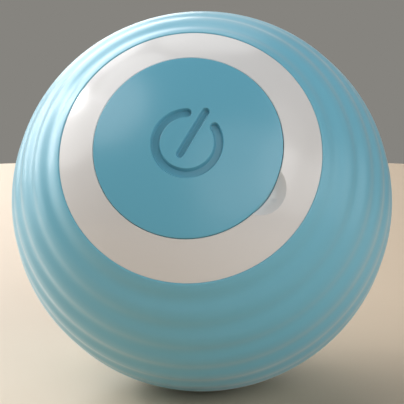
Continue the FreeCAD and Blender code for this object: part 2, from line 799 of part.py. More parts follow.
def make_usb_socket():
    """Metal sleeve of the charging socket, open at the top and through its floor for the insulator."""
    outer = prism("SocketOuter", "socket_width", "socket_depth", "socket_round",
                  "board_top", "socket_top", "0", "-socket_offset")
    inner = prism("SocketInner", "socket_width - 2 * socket_wall",
                  "socket_depth - 2 * socket_wall", "socket_round - socket_wall",
                  "board_top - 1", "socket_top + 1", "0", "-socket_offset")
    return cut("usb_socket", outer, inner)


def make_usb_tongue():
    """Plastic insulator that closes the sleeve's foot, with the contact tongue."""
    foot = prism("TongueFoot", "socket_width - 2 * socket_wall",
                 "socket_depth - 2 * socket_wall", "socket_round - socket_wall",
                 "board_top", "board_top + socket_floor", "0", "-socket_offset")
    blade = block("TongueBlade", "tongue_width", "tongue_thickness", "board_top",
                  "socket_top - tongue_inset", "0", "-socket_offset")
    return fuse("usb_tongue", foot, blade)


def make_status_leds():
    lamps = [prism(f"Lamp{side + 1}", "lamp_width", "lamp_length", "lamp_round", "board_top",
                   "board_top + lamp_height", f"{side} * lamp_circle", "0") for side in (-1, 1)]
    return group("status_leds", lamps)


def make_control_chip():
    parts = [block("ChipBody", "chip_width", "chip_length", "board_top",
                   "board_top + chip_height", "0", "chip_offset")]
    for leg in range(4):
        parts.append(block(f"ChipLegs{leg}", "chip_width + 2 * chip_leg_reach", "chip_leg_width",
                           "board_top", "board_top + chip_leg_height", "0",
                           f"chip_offset + ({leg} - 1.5) * chip_leg_pitch"))
    return fuse("control_chip", *parts)


def make_battery():
    return prism("battery", "battery_length", "battery_thickness", "battery_round",
                 "-frame_top", "battery_top", "0", "battery_offset")


def make_battery_pad():
    return prism("battery_pad", "pad_length", "battery_thickness", "pad_round",
                 "battery_top", "board_under", "0", "battery_offset")


def make_battery_tabs():
    tabs = [block(f"Tab{side + 1}", "tab_width", "tab_thickness", "battery_top",
                  "terminal_top", f"{side} * tab_spread", "battery_offset") for side in (-1, 1)]
    return group("battery_tabs", tabs)


def flatted(name, radius, flat, bottom, top):
    """The motor's outline: a round can with two flats."""
    can = cylinder(name + "Round", radius, bottom, top, "0", "-motor_offset")
    flats = block(name + "Flats", f"2 * ({radius})", f"2 * ({flat})", bottom, top,
                  "0", "-motor_offset")
    return common(name, can, flats)


def make_motor_can():
    can = flatted("CanBody", "motor_radius", "motor_flat", "-frame_top", "motor_cap_under")
    nose = cylinder("CanNose", "motor_nose_radius", "-frame_top - motor_nose_height", "0",
                    "0", "-motor_offset")
    bore = cylinder("CanBore", "motor_shaft_radius + axle_gap",
                    "-frame_top - motor_nose_height - 1", "motor_shaft_top + shaft_end_gap",
                    "0", "-motor_offset")
    return cut("motor_can", fuse("CanWhole", can, nose), bore)


def make_motor_end_cap():
    return flatted("motor_end_cap", "motor_radius - motor_cap_inset", "motor_flat - motor_cap_inset",
                   "motor_cap_under", "motor_top")


def make_motor_terminals():
    blades = [block(f"Terminal{side + 1}", "terminal_width", "terminal_thickness", "motor_top",
                    "terminal_top", f"{side} * terminal_spread", "-terminal_offset")
              for side in (-1, 1)]
    return group("motor_terminals", blades)


def make_motor_shaft():
    return group("motor_shaft", [cylinder("ShaftRod", "motor_shaft_radius", "wheel_under",
                                          "motor_shaft_top", "0", "-motor_offset")])


def involute(base, radius, turn):
    """The point of an involute at a given radius, its start turned about the origin."""
    unrolled = math.sqrt((radius / base) ** 2 - 1)
    angle = turn + unrolled - math.atan(unrolled)
    return FreeCAD.Vector(radius * math.cos(angle), radius * math.sin(angle), 0)


def toothed_disc(name, module, teeth, bottom, top, x, y, first_tooth):
    """An involute spur gear whose first tooth points in a given direction, in degrees."""
    pitch = module * teeth / 2
    tip = pitch + module
    root = pitch - 1.25 * module
    base = pitch * math.cos(PRESSURE_ANGLE)
    foot = max(root, base)
    if foot - root < 0.1 * module:
        root = foot
    unrolled = math.tan(PRESSURE_ANGLE)
    half_tooth = math.pi / (2 * teeth) + unrolled - PRESSURE_ANGLE
    edges = []

    def at(radius, angle):
        return FreeCAD.Vector(radius * math.cos(angle), radius * math.sin(angle), 0)

    def mirrored(point, middle):
        angle = 2 * middle - math.atan2(point.y, point.x)
        return at(point.Length, angle)

    for tooth in range(teeth):
        middle = math.radians(first_tooth) + 2 * math.pi * tooth / teeth
        flank = [involute(base, radius, middle - half_tooth) for radius in (foot, (foot + tip) / 2, tip)]
        other = [mirrored(point, middle) for point in reversed(flank)]
        low, high = at(root, middle - half_tooth), at(root, middle + half_tooth)
        if foot > root:
            edges.append(Part.LineSegment(low, flank[0]).toShape())
        edges.append(Part.Arc(*flank).toShape())
        edges.append(Part.Arc(flank[-1], at(tip, middle), other[0]).toShape())
        edges.append(Part.Arc(*other).toShape())
        if foot > root:
            edges.append(Part.LineSegment(other[-1], high).toShape())
        last = high if foot > root else other[-1]
        next_middle = middle + 2 * math.pi / teeth
        next_low = at(root, next_middle - half_tooth)
        if foot == root:
            next_low = involute(base, foot, next_middle - half_tooth)
        edges.append(Part.Arc(last, at(root, (middle + next_middle) / 2), next_low).toShape())
    face = Part.Face(Part.Wire(edges))
    solid = face.extrude(FreeCAD.Vector(0, 0, top - bottom))
    solid.translate(FreeCAD.Vector(x, y, bottom))
    disc = doc.addObject("Part::Feature", name)
    disc.Shape = solid
    return disc


def mesh_angles():
    """Directions, in degrees, of a first tooth on each gear so that all are in mesh at rest."""
    idler = FreeCAD.Vector(number("idler_x"), number("idler_y"), 0)
    motor = FreeCAD.Vector(0, -number("motor_offset"), 0)
    to_motor = math.degrees(math.atan2(motor.y - idler.y, motor.x - idler.x))
    to_axle = math.degrees(math.atan2(-idler.y, -idler.x))
    return {
        "wheel": to_motor,
        "pinion": to_motor + 180 + 180 / number("pinion_teeth"),
        "idler_pinion": to_axle,
        "output": to_axle + 180 + 180 / number("output_teeth"),
    }


def make_motor_pinion():
    teeth = toothed_disc("PinionTeeth", number("tooth_module"), int(number("pinion_teeth")),
                         number("wheel_under"), number("wheel_top + face_overhang"),
                         0, -number("motor_offset"), mesh_angles()["pinion"])
    bore = cylinder("PinionBore", "motor_shaft_radius", "wheel_under - 1", "wheel_top + 1",
                    "0", "-motor_offset")
    return cut("motor_pinion", teeth, bore)


def make_idler_gear():
    x, y = number("idler_x"), number("idler_y")
    wheel = toothed_disc("WheelTeeth", number("tooth_module"), int(number("wheel_teeth")),
                         number("wheel_under"), number("wheel_top"), x, y, mesh_angles()["wheel"])
    small = toothed_disc("IdlerPinionTeeth", number("tooth_module"), int(number("idler_pinion_teeth")),
                         number("output_under - face_overhang"), number("wheel_under"), x, y,
                         mesh_angles()["idler_pinion"])
    hub = cylinder("IdlerHub", "idler_hub_radius", "wheel_top", "frame_under - hub_gap",
                   "idler_x", "idler_y")
    bore = cylinder("IdlerBore", "idler_pin_radius + idler_pin_gap", "cover_under", "frame_under",
                    "idler_x", "idler_y")
    return cut("idler_gear", fuse("IdlerWhole", wheel, small, hub), bore)


def make_idler_pin():
    return group("idler_pin", [cylinder("PinRod", "idler_pin_radius", "cover_top - cover_pin_seat",
                                        "frame_under + idler_pin_seat", "idler_x", "idler_y")])


def make_output_gear():
    teeth = toothed_disc("OutputTeeth", number("tooth_module"), int(number("output_teeth")),
                         number("output_under"), number("output_top"), 0, 0, mesh_angles()["output"])
    hub = cylinder("OutputHub", "hub_radius", "output_top", "front_washer_under")
    bore = cylinder("OutputBore", "axle_radius", "output_under - 1", "frame_under")
    return cut("output_gear", fuse("OutputWhole", teeth, hub), bore)


def make_drive_axle():
    return group("drive_axle", [cylinder("AxleRod", "axle_radius", "-axle_back", "axle_front")])


def bush(name, bottom, top):
    return cut(name, cylinder(name + "Outer", "bush_radius", bottom, top),
               cylinder(name + "Bore", "axle_radius + axle_gap", f"{bottom} - 1", f"{top} + 1"))


def make_front_bush():
    return bush("front_bush", "frame_under", "frame_under + front_bush_length")


def make_rear_bush():
    return bush("rear_bush", "-rear_pocket", "-rear_bush_top")


def make_thrust_washers():
    washers = []
    for end, bottom, top in (("Front", "front_washer_under", "front_washer_top"),
                             ("Rear", "hub_end - washer_thickness", "hub_end")):
        washers.append(cut(end + "Washer", cylinder(end + "WasherDisc", "washer_radius", bottom, top),
                           cylinder(end + "WasherBore", "axle_radius", f"{bottom} - 1", f"{top} + 1")))
    return group("thrust_washers", washers)


def make_drive_frame():
    """Moulded plate with a bush boss, battery tray, motor saddle and posts for the gear cover."""
    added = [cylinder("FramePlate", "frame_radius", "frame_under", "-frame_top"),
             cylinder("FrameBoss", "frame_boss_radius", "-frame_top", "frame_boss_height - frame_top")]
    tray_outer = prism("TrayOuter", "battery_length + 2 * (tray_gap + tray_wall)",
                       "battery_thickness + 2 * (tray_gap + tray_wall)",
                       "battery_round + tray_gap + tray_wall",
                       "-frame_top", "tray_height - frame_top", "0", "battery_offset")
    tray_inner = prism("TrayInner", "battery_length + 2 * tray_gap",
                       "battery_thickness + 2 * tray_gap", "battery_round + tray_gap",
                       "-frame_top", "tray_height", "0", "battery_offset")
    saddle_outer = flatted("SaddleOuter", "motor_radius + saddle_gap + saddle_wall",
                           "motor_flat + saddle_gap + saddle_wall",
                           "-frame_top", "saddle_height - frame_top")
    saddle_inner = flatted("SaddleInner", "motor_radius + saddle_gap", "motor_flat + saddle_gap",
                           "-frame_top", "saddle_height")
    added += [cut("Tray", tray_outer, tray_inner), cut("Saddle", saddle_outer, saddle_inner)]
    holes = [cylinder("BushSeat", "bush_seat", "frame_under - 1", "frame_boss_height"),
             cylinder("NoseHole", "motor_nose_radius + solder_gap", "frame_under - 1", "0",
                      "0", "-motor_offset"),
             cylinder("IdlerPinHole", "idler_pin_radius + bush_gap", "frame_under - 1",
                      "frame_under + idler_pin_seat", "idler_x", "idler_y")]
    for post in range(int(number("frame_screw_count"))):
        x, y = polar("frame_screw_circle", f"360 * {post} / frame_screw_count")
        holes.append(cylinder(f"FrameHole{post}", "frame_screw_radius + screw_pass",
                              "frame_under - 1", "0", x, y))
    for post, angle in enumerate(COVER_ANGLES):
        x, y = polar("cover_post_circle", angle)
        added.append(cylinder(f"CoverPost{post}", "cover_post_radius", "cover_top", "frame_under", x, y))
        holes.append(cylinder(f"CoverPilot{post}", "cover_screw_radius + screw_gap", "cover_top - 1",
                              "cover_under + cover_head_height + cover_screw_length + screw_gap", x, y))
    return cut("drive_frame", fuse("FrameWhole", *added), fuse("FrameHoles", *holes))


def make_frame_screws():
    screws = []
    for post in range(int(number("frame_screw_count"))):
        x, y = polar("frame_screw_circle", f"360 * {post} / frame_screw_count")
        screws.append(screw(f"FrameScrew{post}", "frame_screw_radius", "frame_screw_length",
                            "frame_head_radius", "frame_head_height",
                            "frame_under - frame_head_height", x, y))
    return group("frame_screws", screws)


def make_gear_cover():
    """Round plate under the gears: holds the idler pin's end, lets the axle through, has windows."""
    plate = cylinder("CoverPlate", "cover_radius", "cover_under", "cover_top")
    holes = [cylinder("CoverAxleHole", "axle_radius + cover_axle_gap", "cover_under - 1",
                      "cover_top + 1"),
             cylinder("CoverPinHole", "idler_pin_radius + bush_gap", "cover_top - cover_pin_seat",
                      "cover_top + 1", "idler_x", "idler_y")]
    for post, angle in enumerate(COVER_ANGLES):
        x, y = polar("cover_post_circle", angle)
        holes.append(cylinder(f"CoverHole{post}", "cover_screw_radius + screw_pass",
                              "cover_under - 1", "cover_top + 1", x, y))
        holes.append(cylinder(f"CoverSink{post}", "cover_head_radius + screw_pass", "cover_under - 1",
                              "cover_under + cover_head_height", x, y))
        x, y = polar("cover_window_circle", angle)
        holes.append(cylinder(f"CoverWindow{post}", "cover_window_radius", "cover_under - 1",
                              "cover_top + 1", x, y))
    return cut("gear_cover", plate, fuse("CoverHoles", *holes))


def make_cover_screws():
    screws = []
    for post, angle in enumerate(COVER_ANGLES):
        x, y = polar("cover_post_circle", angle)
        screws.append(screw(f"CoverScrew{post}", "cover_screw_radius", "cover_screw_length",
                            "cover_head_radius", "cover_head_height", "cover_under", x, y))
    return group("cover_screws", screws)


def swung(name, corners, arcs=None):
    """A body turned part of the way round the drive axis, centred on the side that hangs down."""
    body = new_body(name)
    sketch = new_sketch(body, name + "Section", "YZ_Plane")
    draw_outline(sketch, corners, arcs)
    revolve(body, sketch, "weight_span_angle", midplane=True)
    return body


def weight_screw_places():
    return [polar("weight_screw_circle", f"-90 + {side} * weight_screw_angle") for side in (-1, 1)]


def make_pendulum_arm():
    """Arm with its hub, pressed on the axle; the weight hooks round the arm's outer edge."""
    edge = "-(rim_radius - rim_fit)"
    plate = swung("ArmPlate", [("0", "arm_top"), ("0", "arm_under"),
                               (edge, "arm_under"), (edge, "arm_top")])
    hub = cylinder("ArmHub", "arm_hub_radius", "hub_end", "arm_top")
    holes = [cylinder("ArmBore", "axle_radius", "hub_end - 1", "arm_top + 1")]
    for index, (x, y) in enumerate(weight_screw_places()):
        holes.append(cylinder(f"ArmHole{index}", "weight_screw_radius + screw_gap", "arm_under - 1",
                              "arm_top + 1", x, y))
    return cut("pendulum_arm", fuse("ArmWhole", plate, hub), fuse("ArmHoles", *holes))


def make_counterweight():
    """Cast weight: a plate under the arm and a rim that reaches up round the gear cover."""
    corners = [
        ("-weight_inner", "arm_under"),
        ("-weight_inner", "weight_under"),
        ("-" + on_sphere("swing_radius", "weight_under"), "weight_under"),
        ("-" + on_sphere("swing_radius", "rim_top"), "rim_top"),
        ("-rim_radius", "rim_top"),
        ("-rim_radius", "arm_under"),
    ]
    moon = swung("WeightMoon", corners, {2: ("swing_radius", "right")})
    holes = [cylinder(f"WeightHole{index}", "weight_screw_radius + screw_pass", "weight_under - 1",
                      "arm_under + 1", x, y) for index, (x, y) in enumerate(weight_screw_places())]
    return cut("counterweight", moon, fuse("WeightHoles", *holes))


def make_weight_screws():
    length = "arm_under - weight_under + arm_thickness - screw_pass"
    screws = [screw(f"WeightScrew{index}", "weight_screw_radius", length, "weight_head_radius",
                    "weight_head_height", "weight_under - weight_head_height", x, y)
              for index, (x, y) in enumerate(weight_screw_places())]
    return group("weight_screws", screws)


def finish(piece, name):
    """Name a finished piece and turn it to the way the ball rests."""
    piece.Label = name
    lean = FreeCAD.Rotation(SIDEWAYS, number("90 - axis_lift_angle"))
    piece.Placement = FreeCAD.Placement(FreeCAD.Vector(), lean)
    piece.setExpression("Placement.Rotation.Angle", spelled("90 - axis_lift_angle"))
    return piece


MAKERS = {
    "grip_jacket": make_grip_jacket,
    "front_shell": make_front_shell,
    "rear_shell": make_rear_shell,
    "power_cap": make_power_cap,
    "switch_base": make_switch_base,
    "switch_stem": make_switch_stem,
    "circuit_board": make_circuit_board,
    "board_screws": make_board_screws,
    "usb_socket": make_usb_socket,
    "usb_tongue": make_usb_tongue,
    "status_leds": make_status_leds,
    "control_chip": make_control_chip,
    "battery": make_battery,
    "battery_pad": make_battery_pad,
    "battery_tabs": make_battery_tabs,
    "motor_can": make_motor_can,
    "motor_end_cap": make_motor_end_cap,
    "motor_terminals": make_motor_terminals,
    "motor_shaft": make_motor_shaft,
    "motor_pinion": make_motor_pinion,
    "idler_gear": make_idler_gear,
    "idler_pin": make_idler_pin,
    "output_gear": make_output_gear,
    "drive_axle": make_drive_axle,
    "front_bush": make_front_bush,
    "rear_bush": make_rear_bush,
    "thrust_washers": make_thrust_washers,
    "drive_frame": make_drive_frame,
    "frame_screws": make_frame_screws,
    "gear_cover": make_gear_cover,
    "cover_screws": make_cover_screws,
    "pendulum_arm": make_pendulum_arm,
    "counterweight": make_counterweight,
    "weight_screws": make_weight_screws,
}

pieces = [finish(make(), name) for name, make in MAKERS.items()]
doc.recompute()
for item in doc.Objects:
    if {"Invalid", "Error"} & set(item.State):
        raise RuntimeError(f"{item.Label} failed: {item.State}")

os.makedirs("parts", exist_ok=True)
for piece in pieces:
    if piece.Shape.isNull() or not piece.Shape.isValid():
        raise RuntimeError(f"{piece.Label} has no sound shape")
for piece in pieces:
    piece.Shape.exportStep(f"parts/{piece.Label}.step")
    print(piece.Label, len(piece.Shape.Solids), round(piece.Shape.Volume, 3))
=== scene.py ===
import json
import math

import bmesh
import bpy
from mathutils import Matrix, Vector


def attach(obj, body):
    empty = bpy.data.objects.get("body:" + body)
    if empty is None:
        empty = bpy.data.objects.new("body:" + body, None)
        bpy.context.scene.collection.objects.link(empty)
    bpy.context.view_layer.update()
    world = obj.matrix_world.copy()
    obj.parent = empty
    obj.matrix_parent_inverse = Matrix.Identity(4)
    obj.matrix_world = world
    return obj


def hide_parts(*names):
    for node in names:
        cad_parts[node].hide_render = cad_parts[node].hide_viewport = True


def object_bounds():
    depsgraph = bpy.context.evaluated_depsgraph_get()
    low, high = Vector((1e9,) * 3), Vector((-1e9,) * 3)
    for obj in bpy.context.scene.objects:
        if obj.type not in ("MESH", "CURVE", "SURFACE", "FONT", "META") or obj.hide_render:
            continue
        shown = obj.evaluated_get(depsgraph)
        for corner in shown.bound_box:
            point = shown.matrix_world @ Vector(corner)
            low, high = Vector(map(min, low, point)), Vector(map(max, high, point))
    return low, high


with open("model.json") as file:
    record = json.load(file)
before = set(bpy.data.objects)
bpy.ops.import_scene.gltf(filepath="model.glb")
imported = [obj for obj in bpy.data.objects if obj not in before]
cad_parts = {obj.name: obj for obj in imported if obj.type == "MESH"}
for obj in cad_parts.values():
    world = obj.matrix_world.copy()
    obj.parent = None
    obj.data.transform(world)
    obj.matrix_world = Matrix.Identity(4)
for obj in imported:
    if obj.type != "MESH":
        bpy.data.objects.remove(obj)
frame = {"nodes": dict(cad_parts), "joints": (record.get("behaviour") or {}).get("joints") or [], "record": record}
cad_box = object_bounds()

MM = 0.001
DEG = math.pi / 180
BLACK = (0, 0, 0, 1)

# Sizes of the two skins, in millimetres and degrees. They are the solids' own, but for tighter rounds at
# the jacket's lip and the cap's edge and a snugger opening, because the photograph hardly shows a seam.
# Heights run along the drive axis from the ball's middle
BALL_RADIUS = 21.5
JACKET_INSIDE = 20.05
OPENING_RADIUS = 13.28
LIP_ROUND = 0.06
RIB_PITCH = 9.264
GROOVE_DEPTH = 0.2
GROOVE_SHARPNESS = 1.3
GROOVES_EACH_SIDE = 5
CAP_RADIUS = 9.37
CAP_EDGE_HEIGHT = 19.3508
CAP_EDGE_ROUND = 0.06
CAP_CROWN = 1.117
CAP_SKIRT_DEPTH = 2.3
CAP_SKIRT_WALL = 1.2
CAP_SKIRT_CHAMFER = 0.1
CAP_PLATE = 0.75
CAP_BOSS_RADIUS = 2.2
CAP_BOSS_LENGTH = 1.0
STEM_TOP = CAP_EDGE_HEIGHT - CAP_PLATE - CAP_BOSS_LENGTH
SYMBOL_RADIUS = 3.12
SYMBOL_STROKE = 0.85
SYMBOL_BAR = 0.75
SYMBOL_BAR_OUT = 4.05
SYMBOL_BAR_IN = 1.7
SYMBOL_GAP = 60.0
SYMBOL_TURN = 62.2
SYMBOL_DEPTH = 0.5

# The wall of the symbol's recess falls softly, from just outside its outline to a little way inside it,
# and its floor gets painted shade: its colour is dimmed below the face's by a share, for the recess's shade
WALL_OUTSIDE = 0.07
WALL_INSIDE = 0.13
PAINTED_RECESS_SHADE = 0.15

# How fine the cap's mesh is: steps round it, and rings over the symbol, the rest of the face and the edge
CAP_STEPS_AROUND = 480
SYMBOL_MARGIN = 0.5
SYMBOL_REACH = SYMBOL_BAR_OUT + SYMBOL_MARGIN
SYMBOL_RINGS = 126
FACE_RINGS = 12
EDGE_RINGS = 6
SHARP_ANGLE = 50.0

# The photograph's view: the camera's place about the ball, and the ball's outline in the picture
CAMERA_AZIMUTH = 4.65
CAMERA_ELEVATION = 10.0
CAMERA_DISTANCE = 6.0 * BALL_RADIUS
PICTURE_SIDE = 404
OUTLINE_RADIUS_PX = 190.2
OUTLINE_LEFT_PX = 0.1
OUTLINE_UP_PX = 0.7
SENSOR = 36.0

# The drive axis of the solids is the skins' own Z
drive = next(joint for joint in frame["joints"] if joint["name"] == "pendulum_spin")
AXIS = Vector(drive["axis"]).normalized()
SIDEWAYS = Vector((1, 0, 0))
LEAN = Matrix((SIDEWAYS, AXIS.cross(SIDEWAYS), AXIS)).transposed()


# Nodes and objects


def node(tree, kind, inputs=None, **settings):
    """A new node; an input is given a socket to link from, or a plain value."""
    made = tree.nodes.new(kind)
    for name, value in settings.items():
        setattr(made, name, value)
    for name, value in (inputs or {}).items():
        if isinstance(value, bpy.types.NodeSocket):
            tree.links.new(value, made.inputs[name])
        else:
            made.inputs[name].default_value = value
    return made


def calc(tree, operation, *values, clamp=False):
    """A Math node's result."""
    made = node(tree, "ShaderNodeMath", dict(enumerate(values)), operation=operation, use_clamp=clamp)
    return made.outputs[0]


# A Mix node's number, vector and colour sockets have the same names, so the colour ones go by place
MIX_SHARE, MIX_BASE, MIX_OTHER, MIX_RESULT = 0, 6, 7, 2


def mixed(tree, share, base, other):
    """The colour that a Mix node makes of two."""
    made = node(tree, "ShaderNodeMix", {MIX_SHARE: share, MIX_BASE: base, MIX_OTHER: other},
                data_type="RGBA")
    return made.outputs[MIX_RESULT]


def new_group(name, kind, inputs, outputs):
    """A node group with its input and output nodes. inputs: name -> (socket type, default)."""
    tree = bpy.data.node_groups.new(name, kind)
    for label, (socket_type, default) in inputs.items():
        socket = tree.interface.new_socket(name=label, in_out="INPUT", socket_type=socket_type)
        if default is not None:
            socket.default_value = default
    for label, socket_type in outputs.items():
        tree.interface.new_socket(name=label, in_out="OUTPUT", socket_type=socket_type)
    return tree, tree.nodes.new("NodeGroupInput").outputs, tree.nodes.new("NodeGroupOutput").inputs


def colour(red, green, blue):
    """A colour as it looks on a screen, 0 to 255, in the renderer's linear values."""
    linear = [channel / 255 / 12.92 if channel <= 10 else ((channel / 255 + 0.055) / 1.055) ** 2.4
              for channel in (red, green, blue)]
    return (*linear, 1.0)


def new_object(name, data):
    """An object for a mesh, lamp or camera, linked to the scene."""
    made = bpy.data.objects.new(name, data)
    bpy.context.scene.collection.objects.link(made)
    return made


# Shader groups


def noise(tree, place, size, detail):
    """A noise pattern's value; size is how large its spots are, in metres."""
    made = node(tree, "ShaderNodeTexNoise", {
        "Vector": place, "Scale": calc(tree, "DIVIDE", 1.0, size), "Detail": detail})
    return made.outputs["Fac"]


def put_out(tree, out, tint, gloss, height, depth):
    """Link a finish's colour, gloss and bumps to its group's outputs."""
    bump = node(tree, "ShaderNodeBump", {"Strength": 1.0, "Distance": depth, "Height": height})
    tree.links.new(tint, out["Color"])
    tree.links.new(gloss, out["Roughness"])
    tree.links.new(bump.outputs["Normal"], out["Normal"])


def make_moulded_grain():
    """Moulded plastic or rubber: faint cloudy colour, fine uneven gloss and a fine grain."""
    tree, given, out = new_group("MouldedGrain", "ShaderNodeTree", {
        "Color": ("NodeSocketColor", (0.5, 0.5, 0.5, 1)),
        "Cloudiness": ("NodeSocketFloat", 0.05),
        "Cloud Size": ("NodeSocketFloat", 0.006),
        "Roughness": ("NodeSocketFloat", 0.5),
        "Roughness Spread": ("NodeSocketFloat", 0.05),
        "Grain Size": ("NodeSocketFloat", 0.0002),
        "Grain Depth": ("NodeSocketFloat", 0.000004),
    }, {"Color": "NodeSocketColor", "Roughness": "NodeSocketFloat", "Normal": "NodeSocketVector"})
    place = node(tree, "ShaderNodeTexCoord").outputs["Object"]
    clouds = noise(tree, place, given["Cloud Size"], 3.0)
    grain = noise(tree, place, given["Grain Size"], 2.0)
    tint = mixed(tree, calc(tree, "MULTIPLY", clouds, given["Cloudiness"]), given["Color"], BLACK)
    uneven = calc(tree, "SUBTRACT", clouds, 0.5)
    gloss = calc(tree, "MULTIPLY_ADD", uneven, given["Roughness Spread"], given["Roughness"])
    put_out(tree, out, tint, gloss, grain, given["Grain Depth"])
    return tree


# Machined lines run round the drive axis, so their pattern is stretched across it
LINE_STRETCH = (0.08, 0.08, 1.0)
TARNISH_COLOUR = (0.1, 0.09, 0.08, 1)


def make_machined_metal():
    """Turned or drawn metal: fine lines round the drive axis, with cloudy tarnish and gloss."""
    tree, given, out = new_group("MachinedMetal", "ShaderNodeTree", {
        "Color": ("NodeSocketColor", (0.6, 0.6, 0.6, 1)),
        "Tarnish": ("NodeSocketFloat", 0.25),
        "Cloud Size": ("NodeSocketFloat", 0.002),
        "Roughness": ("NodeSocketFloat", 0.3),
        "Roughness Spread": ("NodeSocketFloat", 0.2),
        "Line Size": ("NodeSocketFloat", 0.00012),
        "Line Depth": ("NodeSocketFloat", 0.000003),
    }, {"Color": "NodeSocketColor", "Roughness": "NodeSocketFloat", "Normal": "NodeSocketVector"})
    place = node(tree, "ShaderNodeTexCoord").outputs["Object"]
    upright = node(tree, "ShaderNodeMapping", {"Vector": place, "Rotation": LEAN.inverted().to_euler()})
    stretched = node(tree, "ShaderNodeVectorMath", {0: upright.outputs[0], 1: LINE_STRETCH},
                     operation="MULTIPLY")
    lines = noise(tree, stretched.outputs[0], given["Line Size"], 2.0)
    clouds = noise(tree, place, given["Cloud Size"], 3.0)
    tint = mixed(tree, calc(tree, "MULTIPLY", clouds, given["Tarnish"]), given["Color"], TARNISH_COLOUR)
    gloss = calc(tree, "MULTIPLY_ADD", clouds, given["Roughness Spread"], given["Roughness"])
    put_out(tree, out, tint, gloss, lines, given["Line Depth"])
    return tree


moulded_grain = make_moulded_grain()
machined_metal = make_machined_metal()


# Materials


def new_material(name, group, values):
    """A material that a shader group gives its colour, gloss and grain, with its group node and its BSDF."""
    material = bpy.data.materials.new(name)
    material.use_nodes = True
    tree = material.node_tree
    bsdf = tree.nodes["Principled BSDF"]
    skin = node(tree, "ShaderNodeGroup", values, node_tree=group)
    tree.links.new(skin.outputs["Color"], bsdf.inputs["Base Color"])
    tree.links.new(skin.outputs["Roughness"], bsdf.inputs["Roughness"])
    tree.links.new(skin.outputs["Normal"], bsdf.inputs["Normal"])
    return material, skin, bsdf


def moulded(name, tint, roughness, cloudiness=0.05, grain=0.0002, depth=0.000004, painted_shade_attribute=None, **shader):
    """A moulded material with optional painted shade along a mesh attribute; shader: the BSDF's plain values."""
    material, skin, bsdf = new_material(name, moulded_grain, {
        "Color": tint, "Cloudiness": cloudiness, "Roughness": roughness,
        "Grain Size": grain, "Grain Depth": depth})
    if painted_shade_attribute:
        # Painted shade: the attribute's share, times the recess shade, mixes the colour towards black
        tree = material.node_tree
        marked = node(tree, "ShaderNodeAttribute", attribute_name=painted_shade_attribute).outputs["Fac"]
        shade = mixed(tree, calc(tree, "MULTIPLY", marked, PAINTED_RECESS_SHADE), tint, BLACK)
        tree.links.new(shade, skin.inputs["Color"])
    for label, value in shader.items():
        bsdf.inputs[label.replace("_", " ")].default_value = value
    return material


def metal(name, tint, roughness, line=0.00012):
    """A machined metal; line is how wide its machined lines are, in metres."""
    material, _, bsdf = new_material(name, machined_metal, {
        "Color": tint, "Roughness": roughness, "Line Size": line})
    bsdf.inputs["Metallic"].default_value = 1.0
    return material


MATERIALS = {
    "silicone_blue": moulded("blue_silicone", colour(118, 193, 217), roughness=0.36, cloudiness=0.03,
                             grain=0.00025, depth=0.000003, Sheen_Weight=0.5, Sheen_Roughness=0.4,
                             Coat_Weight=0.06, Coat_Roughness=0.2),
    # The cap's colour gets painted shade in the symbol's recess, from its "sunk" attribute
    "cap_blue": moulded("blue_cap", colour(111, 186, 211), roughness=0.22, cloudiness=0.02,
                        depth=0.000002, painted_shade_attribute="sunk"),
    "shell_white": moulded("white_shell", colour(232, 231, 230), roughness=0.23, cloudiness=0.015,
                           depth=0.000002, Coat_Weight=0.3, Coat_Roughness=0.1),
    "board_green": moulded("solder_mask", colour(24, 92, 52), roughness=0.35, cloudiness=0.2,
                           grain=0.0004, depth=0.000006),
    "steel": metal("steel", colour(190, 190, 192), roughness=0.28),
    "brass": metal("brass", colour(205, 168, 92), roughness=0.25),
    "black_plastic": moulded("black_plastic", colour(34, 34, 36), roughness=0.5, cloudiness=0.1),
    "stem_plastic": moulded("stem_plastic", colour(190, 52, 40), roughness=0.3),
    "lamp_resin": moulded("lamp_resin", colour(238, 236, 214), roughness=0.2, cloudiness=0.03),
    "battery_foil": metal("battery_foil", colour(196, 200, 205), roughness=0.42, line=0.0004),
    "foam": moulded("foam", colour(48, 48, 52), roughness=0.9, cloudiness=0.3, grain=0.0003, depth=0.00004),
    "gear_acetal": moulded("acetal", colour(236, 235, 226), roughness=0.4, cloudiness=0.04),
    "frame_grey": moulded("grey_plastic", colour(92, 94, 98), roughness=0.5, cloudiness=0.08),
    "weight_iron": metal("cast_weight", colour(96, 96, 98), roughness=0.5, line=0.0003),
}


def dress_nodes():
    """Give every carried-over node the material of its record slot."""
    for part in frame["record"]["subparts"]:
        piece = frame["nodes"][part["node"]]
        finish = MATERIALS[part["material_slot"]]
        if not piece.material_slots:
            piece.data.materials.append(finish)
        for material_slot in piece.material_slots:
            material_slot.material = finish


def add_piece(name, mesh, body, slot, stands_for):
    """Put a finished mesh in the scene, on its body and in place of its node."""
    piece = new_object(name, mesh)
    mesh.materials.clear()
    mesh.materials.append(MATERIALS[slot])
    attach(piece, body)
    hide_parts(stands_for)


def lean(mesh):
    """Turn a mesh drawn about Z to the way the ball rests."""
    mesh.transform(LEAN.to_4x4())
    mesh.update()
    return mesh


dress_nodes()


# Silicone jacket


